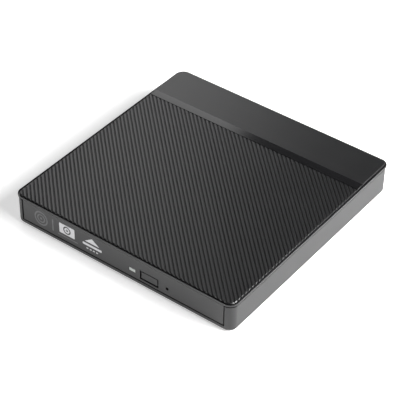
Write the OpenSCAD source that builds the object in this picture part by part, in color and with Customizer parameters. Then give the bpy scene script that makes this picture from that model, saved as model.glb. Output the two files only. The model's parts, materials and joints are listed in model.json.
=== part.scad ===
// External slim optical disc drive: a 12.7 mm tray-loading drive in a square plastic case.
// X runs to the right, Y to the back and Z up. The origin is on the table under the middle of the case.

/* [Case] */
// Width of the case over the cover's rim
body_w = 140; // [140:0.5:146]
// Depth of the case over the cover's rim
body_d = 142; // [142:0.5:148]
// Height of the case without its feet
case_h = 18.4; // [18.4:0.1:20]
// Radius of the case's four upright corners
corner_r = 5; // [4.5:0.5:6]
// Thickness of the walls
wall = 2; // [1.6:0.1:2]
// How far the feet stand out below the case
foot_drop = 0.8; // [0.6:0.1:1.2]
// Radius of a foot
foot_r = 5; // [4:0.5:6]

/* [Cover] */
// Depth of the smooth band along the back
band_d = 25.6; // [20:0.2:30]
// Depth of the ramp between the band and the ribs
ramp_d = 4.5; // [3:0.5:6]
// Height of the band above the ribs
band_rise = 0.4; // [0.2:0.1:0.5]
// Distance from one diagonal rib to the next
rib_pitch = 2; // [1.6:0.2:4]
// Width of the groove between two ribs
groove_w = 1; // [0.4:0.1:1.2]
// Depth of the groove between two ribs
groove_d = 0.35; // [0.2:0.05:0.4]

/* [Tray front] */
// Width of the bezel
bezel_w = 129; // [128:0.5:129.5]
// Gap between the bezel and the case
bezel_gap = 0.6; // [0.4:0.1:0.8]
// Distance of the eject button from the middle
button_x = 18.9; // [17:0.1:20]
// Width of the eject button
button_w = 10.2; // [9:0.2:11]
// Height of the eject button
button_h = 4.2; // [4:0.1:4.4]
// How far the eject button goes in
button_travel = 0.8; // [0.4:0.1:0.8]
// Distance of the busy lamp's window from the middle
lamp_x = 8.1; // [6:0.1:9]
// Distance of the emergency-eject hole from the middle
pinhole_x = 30.2; // [30:0.1:30.4]

/* [Disc mechanism] */
// Diameter of a disc
disc_dia = 120; // [120:120]
// Diameter of the hole in a disc
disc_hole = 15; // [15:15]
// Direction in which the laser sled leaves the hub
track_angle = 225; // [225:225]
// Distance of the lens from the hub with the sled fully in
lens_in = 24; // [24:0.5:25]

/* [Hidden] */
$fn = 64;
eps = 0.01;

// Levels of the case
z_case = foot_drop;
z_top = foot_drop + case_h;
z_field = z_top - band_rise;
z_groove = z_field - groove_d;
z_rim = z_top - 1.85;
rim_h = z_groove - z_rim;
part_gap = 0.5;
z_wall = z_rim - part_gap;
floor_t = 1.8;
z_floor = z_case + floor_t;
z_lip = 3.4;

// Plan of the case
rim_step = 0.9;
overhang = 0.4;
wall_w = body_w - 2 * overhang;
wall_d = body_d - 2 * overhang;
wall_r = corner_r - overhang;
inner_w = wall_w - 2 * wall;
inner_d = wall_d - 2 * wall;
front_y = -wall_d / 2;
back_y = wall_d / 2;
ramp_back_y = body_d / 2 - band_d;
ramp_front_y = ramp_back_y - ramp_d;
skirt_t = 1.2;
skirt_h = 3;
skirt_gap = 0.2;

// Screws and feet of the case
boss_x = 61;
boss_y = back_y - 6;
boss_r = 2.6;
boss_low = 5.2;
screw_r = 1;
screw_head_r = 1.9;
foot_x = 56;
foot_y = 58;
foot_seat = 0.5;
shell_screws = [-boss_x, boss_x];
board_screw_x = [-54.6, 41];
board_screw_r = 0.9;
rest_x = 65.9;

// USB bridge at the back: its board, its socket and the socket's opening
bridge_front = 60.2;
z_bridge = 5.2;
z_bridge_top = 6.4;
usb_x = 30;
z_usb = 8.4;
usb_w = 7.7;
usb_h = 4;
usb_mouth = back_y - 1.2;
usb_skin = 0.35;
usb_open_w = 9.2;
usb_open_h = 5.4;

// The drive: the standard slim size
drive_w = 128;
sheet = 0.6;
drive_front = -66.8;
drive_back = 59.6;
z_drive = 4.05;
z_drive_top = 16.75;
z_pan = z_drive + sheet;
pan_wall_top = 14;
pan_x = drive_w / 2 - sheet;
guide_x = 60.8;
guide_front = -66;
guide_back = 56;
guide_screw_x = 62.1;
guide_screws = [-46, 44];
board_posts = [[-56, 35], [-15, 52], [36, 52]];
z_main_board = 5.2;
board_t = 0.8;
z_main_top = z_main_board + board_t;

// Tray and disc
hub_y = -5;
tray_x = 59.8;
tray_front = -67.2;
tray_back = 56.5;
z_plate = 10.6;
z_small_disc = 11.4;
z_recess = 12;
z_tray_top = 13.2;
recess_r = disc_dia / 2 + 0.7;
small_disc_r = 40.5;
tongue_x = 61.6;
skirt_low = 5.6;
deep_back = 28;
tray_wall = 1.2;
tray_screw_spots = [[-54, 20], [10, 20], [14, -55]];
z_under = 4.95;
under_t = 0.4;

// Flat cable: from the main board forwards, round a fold and back to the tray's board
flex_t = 0.15;
flex_left = 24;
flex_right = 38;
fold_y = -58;
fold_r = 0.5;
z_flex = 4.75;
z_flex_socket = 6.75;
flex_socket_y = 31.5;
flex_tray_y = 13.7;

// Bezel
bezel_back = tray_front;
bezel_skin = 2;
z_bezel = z_drive;
z_bezel_top = z_drive_top;
z_button = 8.15;
button_gap = 0.7;
z_lamp = 8.4;
lamp_w = 4;
lamp_h = 2;
pinhole_r = 0.9;

// Laser track, along local X from the hub
z_rod = 7.4;
rod_r = 1;
rod_v = 11;
rod_in = 11.6;
rod_out = 68;
sled_half = 8.5;
sled_v = 14;
screw_v = 18.3;
screw_in = 12.6;
screw_out = 59.5;
z_deck = 8.2;
deck_t = 0.8;
damper_spots = [[-15, -17], [-15, 21], [45, -18.4], [40, 24.2]];
running = 0.05;
spindle_posts = [130, 220, 300];
spindle_post_u = 14.6;
claw_angles = [0, 120, 240];
nose_r = disc_hole / 2 - 0.1;

// Latch and ejector
latch_at = [49, -46];
latch_t = 2;
z_latch = 6.6;
post_at = [53.1, -61];
ejector_x = 45;
z_ejector = 8;

// ---- helpers ----

module block(low, high) { translate(low) cube(high - low); }

module pillar(x, y, r, low, high) { translate([x, y, low]) cylinder(r = r, h = high - low); }

module rod_y(x, z, r, front, back) { translate([x, front, z]) rotate([-90, 0, 0]) cylinder(r = r, h = back - front); }

module rod_x(y, z, r, left, right) { translate([left, y, z]) rotate([0, 90, 0]) cylinder(r = r, h = right - left); }

module rounded(w, d, r) {
    square([w - 2 * r, d], center = true);
    square([w, d - 2 * r], center = true);
    for (x = [-1, 1], y = [-1, 1]) translate([x * (w / 2 - r), y * (d / 2 - r)]) circle(r);
}

// A profile in Y and Z, drawn out along X
module along_x(left, right) { translate([left, 0, 0]) rotate([90, 0, 90]) linear_extrude(right - left) children(); }

// Moves its children from the track's frame to the hub
module on_track() { translate([0, hub_y, 0]) rotate(track_angle) children(); }

module at_corners(x, y) { for (sx = [-1, 1], sy = [-1, 1]) translate([sx * x, sy * y, 0]) children(); }

// ---- case ----

module deck_profile() {
    polygon([[-body_d, z_rim], [-body_d, z_field], [ramp_front_y, z_field], [ramp_back_y, z_top],
        [body_d, z_top], [body_d, z_rim]]);
}

module rib_grooves() {
    reach = (body_w + body_d) / 2;
    count = ceil(reach / rib_pitch);
    intersection() {
        block([-body_w, -body_d, z_groove], [body_w, ramp_front_y, z_top]);
        rotate(-45) for (i = [-count:count])
            block([-reach, i * rib_pitch - groove_w / 2, z_groove], [reach, i * rib_pitch + groove_w / 2, z_top]);
    }
}

module cover_skirt() {
    outer_w = inner_w - 2 * skirt_gap;
    outer_d = inner_d - 2 * skirt_gap;
    intersection() {
        translate([0, 0, z_rim - skirt_h]) linear_extrude(skirt_h + eps) difference() {
            square([outer_w, outer_d], center = true);
            square([outer_w - 2 * skirt_t, outer_d - 2 * skirt_t], center = true);
        }
        block([-body_w, -50, 0], [body_w, body_d, z_top]);
        translate([0, 0, z_rim - skirt_h]) linear_extrude(skirt_h + eps)
            rounded(outer_w, outer_d, wall_r - wall + eps);
    }
}

module top_cover() {
    color("#2a2a2c") difference() {
        union() {
            translate([0, 0, z_rim]) linear_extrude(rim_h) rounded(body_w, body_d, corner_r);
            intersection() {
                translate([0, 0, z_rim]) linear_extrude(z_top)
                    rounded(body_w - 2 * rim_step, body_d - 2 * rim_step, corner_r - rim_step);
                along_x(-body_w, body_w) deck_profile();
            }
            cover_skirt();
            for (x = shell_screws) pillar(x, boss_y, boss_r, boss_low, z_rim + eps);
        }
        rib_grooves();
        for (x = shell_screws) pillar(x, boss_y, screw_r, boss_low - eps, 12);
    }
}

module bottom_shell() {
    open_w = bezel_w + 2 * bezel_gap;
    color("#262628") difference() {
        union() {
            difference() {
                translate([0, 0, z_case]) linear_extrude(z_wall - z_case) rounded(wall_w, wall_d, wall_r);
                translate([0, 0, z_floor]) linear_extrude(z_wall) rounded(inner_w, inner_d, wall_r - wall);
            }
            for (x = shell_screws) pillar(x, boss_y, boss_r, z_floor - eps, boss_low - 0.1);
            for (x = board_screw_x) pillar(x, boss_y, 2, z_floor - eps, z_bridge);
            for (s = [-1, 1], y = [-40, 0, 40])
                block([s * rest_x - 1.75, y, z_floor - eps], [s * rest_x + 1.75, y + 1.5, 12]);
        }
        block([-open_w / 2, -body_d, z_lip], [open_w / 2, front_y + wall + eps, z_top]);
        for (x = shell_screws) {
            pillar(x, boss_y, screw_r + 0.15, 0, boss_low);
            pillar(x, boss_y, screw_head_r + 0.3, 0, z_case + 1.2);
        }
        for (x = board_screw_x) pillar(x, boss_y, board_screw_r, 3, 6);
        at_corners(foot_x, foot_y) pillar(0, 0, foot_r + 0.2, 0, z_case + foot_seat);
        block([usb_x - usb_open_w / 2, back_y - wall - eps, z_usb - usb_open_h / 2],
            [usb_x + usb_open_w / 2, body_d, z_usb + usb_open_h / 2]);
        block([-35, -22, 0], [35, 22, z_case + 0.2]);
    }
}

module feet() { color("#151515") at_corners(foot_x, foot_y) pillar(0, 0, foot_r, 0, z_case + foot_seat); }

module case_screws() {
    color("#9a9a9e") for (x = shell_screws) difference() {
        union() {
            pillar(x, boss_y, screw_head_r, z_case + 0.1, z_case + 1.2);
            pillar(x, boss_y, screw_r, z_case + 1.1, 11.5);
        }
        block([x - 1.2, boss_y - 0.3, 0], [x + 1.2, boss_y + 0.3, z_case + 0.6]);
        block([x - 0.3, boss_y - 1.2, 0], [x + 0.3, boss_y + 1.2, z_case + 0.6]);
    }
}

module drive_pads() {
    color("#3a3a3a") for (x = [-45, 45], y = [-52, 42]) block([x - 7, y - 5, z_floor], [x + 7, y + 5, z_drive]);
}

// ---- USB bridge at the back ----

module bridge_board() {
    color("#1f5a3a") difference() {
        block([-57.5, bridge_front, z_bridge], [46, 68.3, z_bridge_top]);
        for (x = board_screw_x) pillar(x, boss_y, board_screw_r + 0.1, 5, 7);
    }
}

module bridge_parts() {
    color("#202020") {
        block([-12, 61, z_bridge_top], [-5, 68, 7.4]);
        block([2, 62.5, z_bridge_top], [7, 65.7, 7.5]);
        for (x = [11, 14, 17, 20]) block([x, 63, z_bridge_top], [x + 1.2, 65, 7.2]);
        pillar(37, 62.5, 1.6, z_bridge_top, 9.4);
    }
}

module board_screws() {
    color("#9a9a9e") for (x = board_screw_x) difference() {
        union() {
            pillar(x, boss_y, 1.7, z_bridge_top, z_bridge_top + 1);
            pillar(x, boss_y, board_screw_r, 3, z_bridge_top + 0.1);
        }
        block([x - 1, boss_y - 0.25, 7], [x + 1, boss_y + 0.25, 8]);
    }
}

module usb_shell() {
    color("#b9bbbe") difference() {
        block([usb_x - usb_w / 2, bridge_front, z_usb - usb_h / 2], [usb_x + usb_w / 2, usb_mouth, z_usb + usb_h / 2]);
        block([usb_x - usb_w / 2 + usb_skin, 60.6, z_usb - usb_h / 2 + usb_skin],
            [usb_x + usb_w / 2 - usb_skin, usb_mouth + 1, z_usb + usb_h / 2 - usb_skin]);
    }
}

module usb_tongue() {
    color("#1a1a1a") {
        block([usb_x - 3.4, 60.7, z_usb - 1.5], [usb_x + 3.4, 62, z_usb + 1.5]);
        block([usb_x - 2.5, 62 - eps, z_usb - 0.1], [usb_x + 2.5, usb_mouth - 0.8, z_usb + 0.9]);
    }
}

module usb_contacts() {
    color("#c9a84a") for (i = [-2:2])
        block([usb_x + i * 0.8 - 0.2, 62.1, z_usb - 0.25], [usb_x + i * 0.8 + 0.2, usb_mouth - 1.2, z_usb - 0.1]);
}

module sata_receptacle() {
    color("#181818") difference() {
        block([-51.5, 59.9, z_bridge_top], [-20, 64, 10.2]);
        block([-50.3, 59, 7.3], [-21.2, 62.4, 9.1]);
    }
}

module sata_plug() {
    color("#1c1c1c") {
        block([-50, 54.5, 6], [-21.5, 58.8, 9.6]);
        block([-49.5, 58.8 - eps, 7.6], [-22, 62, 8.8]);
    }
}

// ---- steel housing of the drive ----

module upper_chassis() {
    low = pan_wall_top + 0.2;
    color("#b4b6b8") {
        difference() {
            block([-drive_w / 2, drive_front, low], [drive_w / 2, drive_back, z_drive_top]);
            block([-pan_x, drive_front - 1, 0], [pan_x, drive_back - sheet, z_drive_top - sheet]);
        }
        translate([0, hub_y, 0]) difference() {
            pillar(0, 0, 46, z_drive_top - eps, z_drive_top + 0.3);
            pillar(0, 0, 42, z_drive_top - 1, z_drive_top + 1);
        }
    }
}

module lower_chassis() {
    color("#a9abad") difference() {
        union() {
            difference() {
                block([-drive_w / 2, drive_front, z_drive], [drive_w / 2, drive_back, pan_wall_top]);
                block([-pan_x, drive_front - 1, z_pan], [pan_x, drive_back - sheet, z_drive_top]);
            }
            for (p = board_posts) pillar(p.x, p.y, 2, z_pan - eps, z_main_board);
        }
        block([-52, drive_back - 2, 5.9], [-19.5, drive_back + 1, 10.6]);
        for (x = [-guide_screw_x, guide_screw_x], y = guide_screws) pillar(x, y, 0.65, 3, 6);
    }
}

module chassis_screws() {
    color("#8c8c90") for (x = [-guide_screw_x, guide_screw_x], y = guide_screws) {
        pillar(x, y, 1.2, z_drive - 0.4, z_drive);
        pillar(x, y, 0.6, z_drive - eps, 6.6);
    }
}

module guide() {
    difference() {
        union() {
            block([guide_x, guide_front, 7], [pan_x, guide_back, 13]);
            for (y = guide_screws) block([guide_x, y - 4, z_pan], [pan_x, y + 4, 7 + eps]);
        }
        block([60, guide_front - 1, 7.8], [62.6, guide_back + 1, 12.2]);
        for (y = guide_screws) pillar(guide_screw_x, y, 0.6, 4, 6.7);
    }
}

module rail() {
    difference() {
        block([60.4, -64, 8.1], [62.4, 56, 11.9]);
        block([60, -65, 8.6], [61.9, 57, 11.4]);
    }
}

module guide_right() { color("#d9d4c4") guide(); }

module guide_left() { color("#d9d4c4") mirror([1, 0, 0]) guide(); }

module rail_right() { color("#c2c4c6") rail(); }

module rail_left() { color("#c2c4c6") mirror([1, 0, 0]) rail(); }

// ---- boards and flex inside the drive ----

module main_board() { color("#1d5c34") block([-60, 31, z_main_board], [40, 58, z_main_top]); }

module main_parts() {
    color("#222222") {
        block([-17, 36, z_main_top], [-3, 50, 7.2]);
        block([9, 38, z_main_top], [18, 47, 7]);
        block([23, 31.5, z_main_top], [39, 35.5, 7.6]);
        block([-42, 38, z_main_top], [-32, 44, 7]);
        for (x = [-56, -52, -48]) block([x, 36, z_main_top], [x + 2, 39, 7]);
    }
}

module flex_profile() {
    z_up = z_flex + 2 * fold_r - flex_t;
    polygon([[fold_y, z_flex], [27.5, z_flex], [30.2, z_flex_socket], [flex_socket_y, z_flex_socket],
        [flex_socket_y, z_flex_socket + flex_t], [30.1, z_flex_socket + flex_t],
        [27.4, z_flex + flex_t], [fold_y, z_flex + flex_t]]);
    polygon([[fold_y, z_up], [flex_tray_y, z_up], [flex_tray_y, z_up + flex_t], [fold_y, z_up + flex_t]]);
    difference() {
        translate([fold_y, z_flex + fold_r]) circle(fold_r);
        translate([fold_y, z_flex + fold_r]) circle(fold_r - flex_t);
        translate([fold_y, 0]) square(10);
    }
}

module flex_cable() { color("#c78a3a") along_x(flex_left, flex_right) flex_profile(); }

module latch_post() {
    color("#b0b0b4") {
        pillar(post_at.x, post_at.y, 1.3, z_pan, 9);
        pillar(post_at.x, post_at.y, 2.2, z_pan, 5);
    }
}

module ejector_bracket() {
    color("#1c1c1c") difference() {
        block([ejector_x - 3, 47, z_pan], [ejector_x + 3, 50, 10.4]);
        rod_y(ejector_x, z_ejector, 1.25 + running, 46, 51);
    }
}

module ejector_plunger() {
    color("#e4e0d2") {
        rod_y(ejector_x, z_ejector, 2.2, deep_back + 0.3, deep_back + 1.5);
        rod_y(ejector_x, z_ejector, 1.25, deep_back + 1.4, 58.3);
        rod_y(ejector_x, z_ejector, 1.9, 58.2, 58.8);
    }
}

module ejector_spring() {
    color("#b8b8bc") difference() {
        rod_y(ejector_x, z_ejector, 2.1, deep_back + 1.5, 47);
        rod_y(ejector_x, z_ejector, 1.5, deep_back, 48);
    }
}

// ---- tray ----

module sled_slot(low, high) {
    on_track() {
        intersection() {
            block([0, -16.5, low], [recess_r, 16.5, high]);
            pillar(0, 0, recess_r - 1.2, low, high);
        }
        block([50, -6.5, low], [62.5, 6.5, high]);
        pillar(0, 0, 17.5, low, high);
    }
}

module tray_body() {
    for (x = [-1, 1]) {
        block([x * 60.7 - 0.91, -60, 8.9], [x * 60.7 + 0.91, 56, 11.1]);
        block([x * (tray_x - tray_wall / 2) - tray_wall / 2, tray_front, skirt_low],
            [x * (tray_x - tray_wall / 2) + tray_wall / 2, deep_back, z_plate + eps]);
    }
    block([-tray_x, tray_front, z_plate], [tray_x, tray_back, z_tray_top]);
    block([-tray_x, tray_front, skirt_low], [tray_x, tray_front + tray_wall, z_plate + eps]);
    block([-tray_x, deep_back - tray_wall, skirt_low], [47.2, deep_back, z_plate + eps]);
    on_track() for (p = damper_spots) pillar(p.x, p.y, 2.4, 9.8, z_plate + eps);
    for (p = tray_screw_spots) pillar(p.x, p.y, 2, z_under + under_t, z_plate + eps);
    for (p = [[18, 22], [42, 22]]) pillar(p.x, p.y, 1.6, 7.4, z_plate + eps);
    for (x = [5, 23.5]) pillar(x, -60, 1.5, 6.8, z_plate + eps);
    for (x = [27, 32.3]) block([x, -62, 6.6], [x + 1.2, -54, z_plate + eps]);
}

module tray() {
    color("#242426") difference() {
        tray_body();
        pillar(0, hub_y, recess_r, z_recess, z_top);
        pillar(0, hub_y, small_disc_r, z_small_disc, z_top);
        sled_slot(z_plate - 2, z_top);
        block([1.5, tray_front - 1, skirt_low - 1], [34, tray_front + tray_wall + eps, z_plate]);
        on_track() for (p = damper_spots) pillar(p.x, p.y, 1.15, 9, 11);
        for (p = tray_screw_spots) pillar(p.x, p.y, 0.8, 5, 9.2);
    }
}

module tray_bezel() {
    color("#2c2c2e") difference() {
        block([-bezel_w / 2, front_y, z_bezel], [bezel_w / 2, bezel_back, z_bezel_top]);
        block([-bezel_w / 2 + 2, front_y + bezel_skin, 5.5], [bezel_w / 2 - 2, bezel_back + 1, 15.3]);
        block([button_x - button_w / 2 - button_gap, front_y - 1, z_button - button_h / 2 - button_gap],
            [button_x + button_w / 2 + button_gap, bezel_back, z_button + button_h / 2 + button_gap]);
        block([lamp_x - lamp_w / 2, front_y - 1, z_lamp - lamp_h / 2],
            [lamp_x + lamp_w / 2, bezel_back, z_lamp + lamp_h / 2]);
        rod_y(pinhole_x, 8.1, pinhole_r, front_y - 1, bezel_back);
    }
}

module eject_button() {
    y_flange = front_y + bezel_skin + 0.3;
    color("#2c2c2e") {
        block([button_x - button_w / 2, front_y + 0.1, z_button - button_h / 2],
            [button_x + button_w / 2, y_flange + eps, z_button + button_h / 2]);
        block([button_x - button_w / 2 - 1.1, y_flange, z_button - button_h / 2],
            [button_x + button_w / 2 + 1.1, y_flange + 0.8, z_button + button_h / 2]);
        block([button_x - 1, y_flange + 0.8 - eps, z_button - 1], [button_x + 1, -65.2, z_button + 1]);
    }
}

module lamp_window() {
    color("#cfd6d2") block([lamp_x - lamp_w / 2, front_y + 0.1, z_lamp - lamp_h / 2],
        [lamp_x + lamp_w / 2, -66.2, z_lamp + lamp_h / 2]);
}

module busy_lamp() { color("#d8efc8") block([lamp_x - 1.1, -65.6, 6.8], [lamp_x + 1.1, -64, 8.9]); }

module switch_board() { color("#1f5a3a") block([2, -65.8, 6], [26, -58, 6.8]); }

module eject_switch() {
    color("#9fa0a4") difference() {
        block([button_x - 3, -64.2, 6.8], [button_x + 3, -60.6, 9.8]);
        rod_y(button_x, z_button, 0.95, -65, -61.4);
    }
}

module switch_stem() { color("#303030") rod_y(button_x, z_button, 0.85, -65.2, -62.4); }

module tray_board() { color("#1f5a3a") block([14, 12, 6.6], [46, 26, 7.4]); }

module tray_socket() { color("#e6e2d6") block([23, 14, 5.6], [39, 17.5, 6.6]); }

module underside_cover() {
    color("#adb0b2") difference() {
        block([-58, -65.5, z_under], [21, 26.2, z_under + under_t]);
        for (p = tray_screw_spots) pillar(p.x, p.y, 1.65, z_under - eps, z_under + 0.25);
        for (p = tray_screw_spots) pillar(p.x, p.y, 0.85, z_under, 5.4);
    }
}

module tray_screws() {
    color("#9a9a9e") for (p = tray_screw_spots) {
        pillar(p.x, p.y, 1.6, z_under + 0.02, z_under + 0.25);
        pillar(p.x, p.y, 0.8, 5.1, 9);
    }
}

module latch_lever() {
    x = latch_at.x;
    y = latch_at.y;
    top = z_latch + latch_t;
    color("#e8e4d6") difference() {
        union() {
            pillar(x, y, 2.4, z_latch, top);
            block([x - 1.2, -59.4, z_latch], [x + 1.2, y, top]);
            block([x - 1.2, -59.4, z_latch], [x + 2.4, -57.2, top]);
            block([x - 13.5, y - 1, z_latch], [x, y + 1, top]);
        }
        pillar(x, y, 1 + running, z_latch - 1, top + 1);
    }
}

module latch_pin() { color("#b8b8bc") pillar(latch_at.x, latch_at.y, 1, 5.6, z_plate); }

module latch_spring() {
    color("#c8c8cc") difference() {
        pillar(latch_at.x, latch_at.y, 2.1, 8.8, 10.3);
        pillar(latch_at.x, latch_at.y, 1.3, 8, 11);
    }
}

module emergency_slider() {
    color("#e8e4d6") {
        block([pinhole_x - 1.5, -66.4, 6.6], [pinhole_x + 1.5, -64.6, 9.6]);
        block([pinhole_x - 1.5, -66.4, 6.6], [pinhole_x + 1.5, -50, 8.2]);
        block([pinhole_x - 1.5, -52, 6.6], [37, -50, 8.2]);
        block([35, -52, 6.6], [37, -47.2, 8.2]);
    }
}

module solenoid() {
    color("#8a6a34") difference() {
        block([37.4, -58.4, 5.8], [44.9, -50, 10]);
        rod_x(-54, 7.9, 1.3, 38.4, 46);
    }
}

module solenoid_plunger() { color("#b8b8bc") rod_x(-54, 7.9, 1.2, 40.4, 47.4); }

// ---- traverse: deck, spindle and laser track ----

module traverse_deck() {
    color("#b2b4b6") difference() {
        union() {
            intersection() {
                on_track() block([-20, -22, z_deck], [69.5, 26.5, z_deck + deck_t]);
                block([-58, -65.2, 0], [58, 26.2, 20]);
            }
            on_track() for (v = [-rod_v, rod_v], u = [11, 65.6])
                block([u, v - 1.8, 6], [u + 2.8, v + 1.8, z_deck + eps]);
            on_track() block([57.8, screw_v - 1.8, 6], [60, screw_v + 1.8, z_deck + eps]);
        }
        on_track() {
            pillar(0, 0, 12.8, 7, 10);
            block([15.2, -14.8, 5.5], [65.2, 14.8, 10]);
            block([13.2, 14.7, 8], [57.8, 21.8, 10]);
            block([-1.6, 14.2, 7], [13.3, 22.4, 10]);
            for (p = damper_spots) pillar(p.x, p.y, 2, 8, 10);
            for (v = [-rod_v, rod_v]) rod_x(v, z_rod, rod_r, rod_in, rod_out);
            rod_x(screw_v, z_rod, rod_r + running, 57, screw_out);
        }
    }
}

module dampers() {
    color("#1b1b1b") on_track() for (p = damper_spots) difference() {
        union() {
            pillar(p.x, p.y, 2.9, 7.2, z_deck);
            pillar(p.x, p.y, 2, z_deck - eps, z_deck + deck_t + eps);
            pillar(p.x, p.y, 2.9, z_deck + deck_t, 9.8);
        }
        pillar(p.x, p.y, 1.2, 7, 10);
    }
}

module deck_screws() {
    color("#9a9a9e") on_track() for (p = damper_spots) difference() {
        union() {
            pillar(p.x, p.y, 2.2, 6.3, 7.2);
            pillar(p.x, p.y, 1.15, 7.1, 11);
        }
        block([p.x - 1.2, p.y - 0.25, 6], [p.x + 1.2, p.y + 0.25, 6.7]);
    }
}

module spindle_base() {
    color("#9c9ea0") on_track() difference() {
        union() {
            pillar(0, 0, 12.9, 5.7, 6.7);
            for (a = spindle_posts) rotate(a) {
                pillar(spindle_post_u, 0, 2.2, 5.7, 6.7);
                pillar(spindle_post_u, 0, 1.5, 6.6, z_deck);
            }
            pillar(0, 0, 2.6, 6.6, 10);
        }
        pillar(0, 0, 1 + running, 6.1, 11);
    }
}

module spindle_stator() {
    teeth = 9;
    color("#b5743a") on_track() difference() {
        pillar(0, 0, 10.4, 6.7, 10);
        pillar(0, 0, 2.6, 6, 11);
        for (i = [0:teeth - 1]) rotate(i * 360 / teeth) block([5, -0.6, 6], [11, 0.6, 11]);
    }
}

module spindle_rotor() {
    color("#c6c8ca") on_track() difference() {
        union() {
            pillar(0, 0, 12.2, 7, 11.9);
            pillar(0, 0, 14, 11.8, 12.4);
            pillar(0, 0, nose_r, 12.3, 14.5);
            translate([0, 0, 14.5]) cylinder(r1 = nose_r, r2 = nose_r - 1, h = 0.4);
            pillar(0, 0, 1, 6.3, 12);
        }
        difference() {
            pillar(0, 0, 11, 6.9, 10.9);
            pillar(0, 0, 1, 6, 12);
        }
        for (angle = claw_angles) rotate(angle) block([3.4, -1.2, 12.7], [9, 1.2, 14.2]);
    }
}

module hub_ring() {
    color("#181818") on_track() difference() {
        pillar(0, 0, 13.8, 12.4, 12.7);
        pillar(0, 0, 10.5, 12, 13);
    }
}

module claw(angle) {
    color("#e2ded0") on_track() rotate(angle) block([4.2, -0.9, 13], [disc_hole / 2 + 0.35, 0.9, 13.9]);
}

module claw_a() { claw(claw_angles[0]); }

module claw_b() { claw(claw_angles[1]); }

module claw_c() { claw(claw_angles[2]); }

module pickup_sled() {
    inner = lens_in - sled_half;
    outer = lens_in + sled_half;
    color("#8f9194") on_track() difference() {
        union() {
            block([inner, -sled_v, 5.8], [outer, sled_v, 9.9]);
            block([inner + 1, sled_v - eps, 5.8], [inner + 6, 20.8, 8.9]);
        }
        block([lens_in - 6, -8, 7.6], [lens_in + 6, 8, 11]);
        for (v = [-rod_v, rod_v]) rod_x(v, z_rod, rod_r + running, inner - 1, outer + 1);
        rod_x(screw_v, z_rod, rod_r + running, inner, inner + 7);
        block([lens_in - 6, -13, 8.8], [lens_in + 6, -9, 11]);
    }
}

module lens_holder() {
    color("#1a1a1a") on_track() difference() {
        block([lens_in - 4.2, -3.6, 8.6], [lens_in + 4.2, 3.6, 10.9]);
        pillar(lens_in, 0, 1.7, 8, 12);
    }
    color("#6f7fae") on_track() pillar(lens_in, 0, 1.7, 9.4, 11.3);
}

module guide_rods() {
    color("#d0d2d4") on_track() for (v = [-rod_v, rod_v]) rod_x(v, z_rod, rod_r, rod_in, rod_out);
}

module lead_screw() { color("#c0b890") on_track() rod_x(screw_v, z_rod, rod_r, screw_in, screw_out); }

module stepper_motor() {
    color("#a6a8aa") on_track() {
        intersection() {
            rod_x(screw_v, z_rod, 3.6, -1, 12.5);
            block([-2, 10, 5.5], [14, 26, 9.3]);
        }
        block([11.5, 21, 7.2], [12.5, 25, z_deck]);
    }
}

top_cover();
bottom_shell();
feet();
case_screws();
drive_pads();
bridge_board();
bridge_parts();
board_screws();
usb_shell();
usb_tongue();
usb_contacts();
sata_receptacle();
sata_plug();
upper_chassis();
lower_chassis();
chassis_screws();
guide_left();
guide_right();
rail_left();
rail_right();
main_board();
main_parts();
flex_cable();
latch_post();
ejector_bracket();
ejector_plunger();
ejector_spring();
tray();
tray_bezel();
eject_button();
lamp_window();
busy_lamp();
switch_board();
eject_switch();
switch_stem();
tray_board();
tray_socket();
underside_cover();
tray_screws();
latch_lever();
latch_pin();
latch_spring();
emergency_slider();
solenoid();
solenoid_plunger();
traverse_deck();
dampers();
deck_screws();
spindle_base();
spindle_stator();
spindle_rotor();
hub_ring();
claw_a();
claw_b();
claw_c();
pickup_sled();
lens_holder();
guide_rods();
lead_screw();
stepper_motor();
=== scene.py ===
"""Finished pieces of a slim external disc drive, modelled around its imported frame.

Lengths are metres, X runs to the right, Y to the back and Z up, with the origin on the table.
"""

import json
import math

import bmesh
import bpy
from mathutils import Matrix, Quaternion, Vector

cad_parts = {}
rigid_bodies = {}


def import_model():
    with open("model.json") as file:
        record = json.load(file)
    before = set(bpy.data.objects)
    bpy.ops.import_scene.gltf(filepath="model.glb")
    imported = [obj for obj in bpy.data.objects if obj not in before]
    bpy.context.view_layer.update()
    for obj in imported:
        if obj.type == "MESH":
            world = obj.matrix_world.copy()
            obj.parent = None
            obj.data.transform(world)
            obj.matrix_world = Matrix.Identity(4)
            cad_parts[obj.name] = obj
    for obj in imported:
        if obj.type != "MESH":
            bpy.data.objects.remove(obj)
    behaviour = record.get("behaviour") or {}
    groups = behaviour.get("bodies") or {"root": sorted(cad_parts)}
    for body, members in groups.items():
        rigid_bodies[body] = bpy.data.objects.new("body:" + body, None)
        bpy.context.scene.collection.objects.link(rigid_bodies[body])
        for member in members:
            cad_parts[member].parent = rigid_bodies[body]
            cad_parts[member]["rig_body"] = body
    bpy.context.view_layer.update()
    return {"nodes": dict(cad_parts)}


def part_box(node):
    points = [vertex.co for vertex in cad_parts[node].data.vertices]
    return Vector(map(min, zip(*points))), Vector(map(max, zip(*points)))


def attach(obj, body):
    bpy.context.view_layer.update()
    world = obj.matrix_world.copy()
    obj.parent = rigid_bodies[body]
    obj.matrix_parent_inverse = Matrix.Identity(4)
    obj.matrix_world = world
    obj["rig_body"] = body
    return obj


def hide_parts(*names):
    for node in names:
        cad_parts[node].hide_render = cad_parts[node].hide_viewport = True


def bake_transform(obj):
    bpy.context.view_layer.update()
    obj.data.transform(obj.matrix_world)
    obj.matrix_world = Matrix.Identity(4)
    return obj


bl_info = {
    "name": "Slim Disc Drive",
    "version": (1, 0, 0),
    "blender": (4, 5, 0),
    "location": "View3D > Sidebar > Disc Drive",
    "description": "Models the finished pieces of a slim external disc drive around its packed frame",
    "category": "Object",
}

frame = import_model()

MM = 0.001
MERGE = 0.001 * MM
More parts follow.
